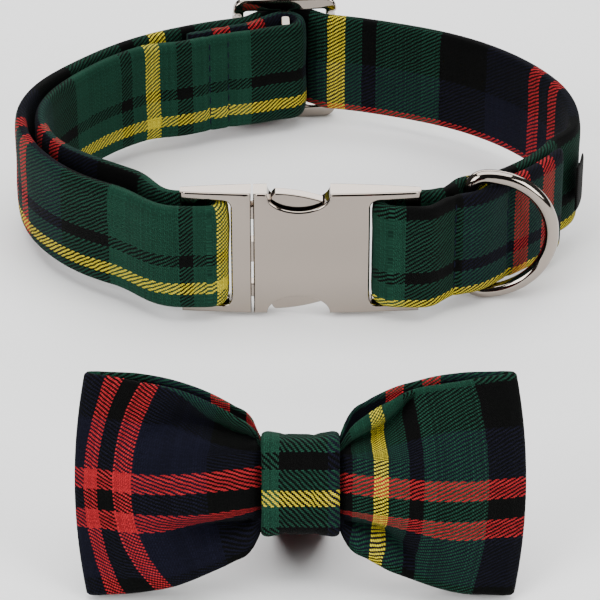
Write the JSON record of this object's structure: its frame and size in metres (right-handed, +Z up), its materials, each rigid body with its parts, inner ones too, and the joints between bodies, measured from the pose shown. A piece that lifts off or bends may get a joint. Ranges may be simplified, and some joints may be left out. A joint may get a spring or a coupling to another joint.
{
  "type": "pet bow tie collar",
  "caption": "Tartan cloth pet collar, a closed loop with a metal side-release buckle, slider and D-ring, standing behind its matching bow tie on an elastic loop.",
  "frame": {"origin": "middle of the footprint of the collar and the bow tie together, on the surface that they stand on", "axes": "+Z up; +Y from the bow tie through the buckle to the slider at the back; +X to the wearer's left, the side of the D-ring"},
  "size_m": [0.1294, 0.2088, 0.0429],
  "materials": {
    "tartan": "twill-woven tartan in green, navy and black with red and yellow lines",
    "nickel": "polished nickel plate",
    "label": "plain black woven tab, bare",
    "elastic": "ribbed black elastic"
  },
  "bodies": {
    "collar": {"strap": "tartan", "buckle_housing": "nickel", "buckle_clip": "nickel", "slider": "nickel", "label_tab": "label", "bow_wings": "tartan", "bow_knot": "tartan", "bow_elastic": "elastic"},
    "ring": {"d_ring": "nickel"}
  },
  "joints": [
    {"name": "d_ring_swing", "type": "hinge", "parent": "collar", "child": "ring", "pos_m": [0.03744, 0.01243, 0.0165], "axis": [0, 0, 1], "range_deg": [-112, 3]}
  ]
}
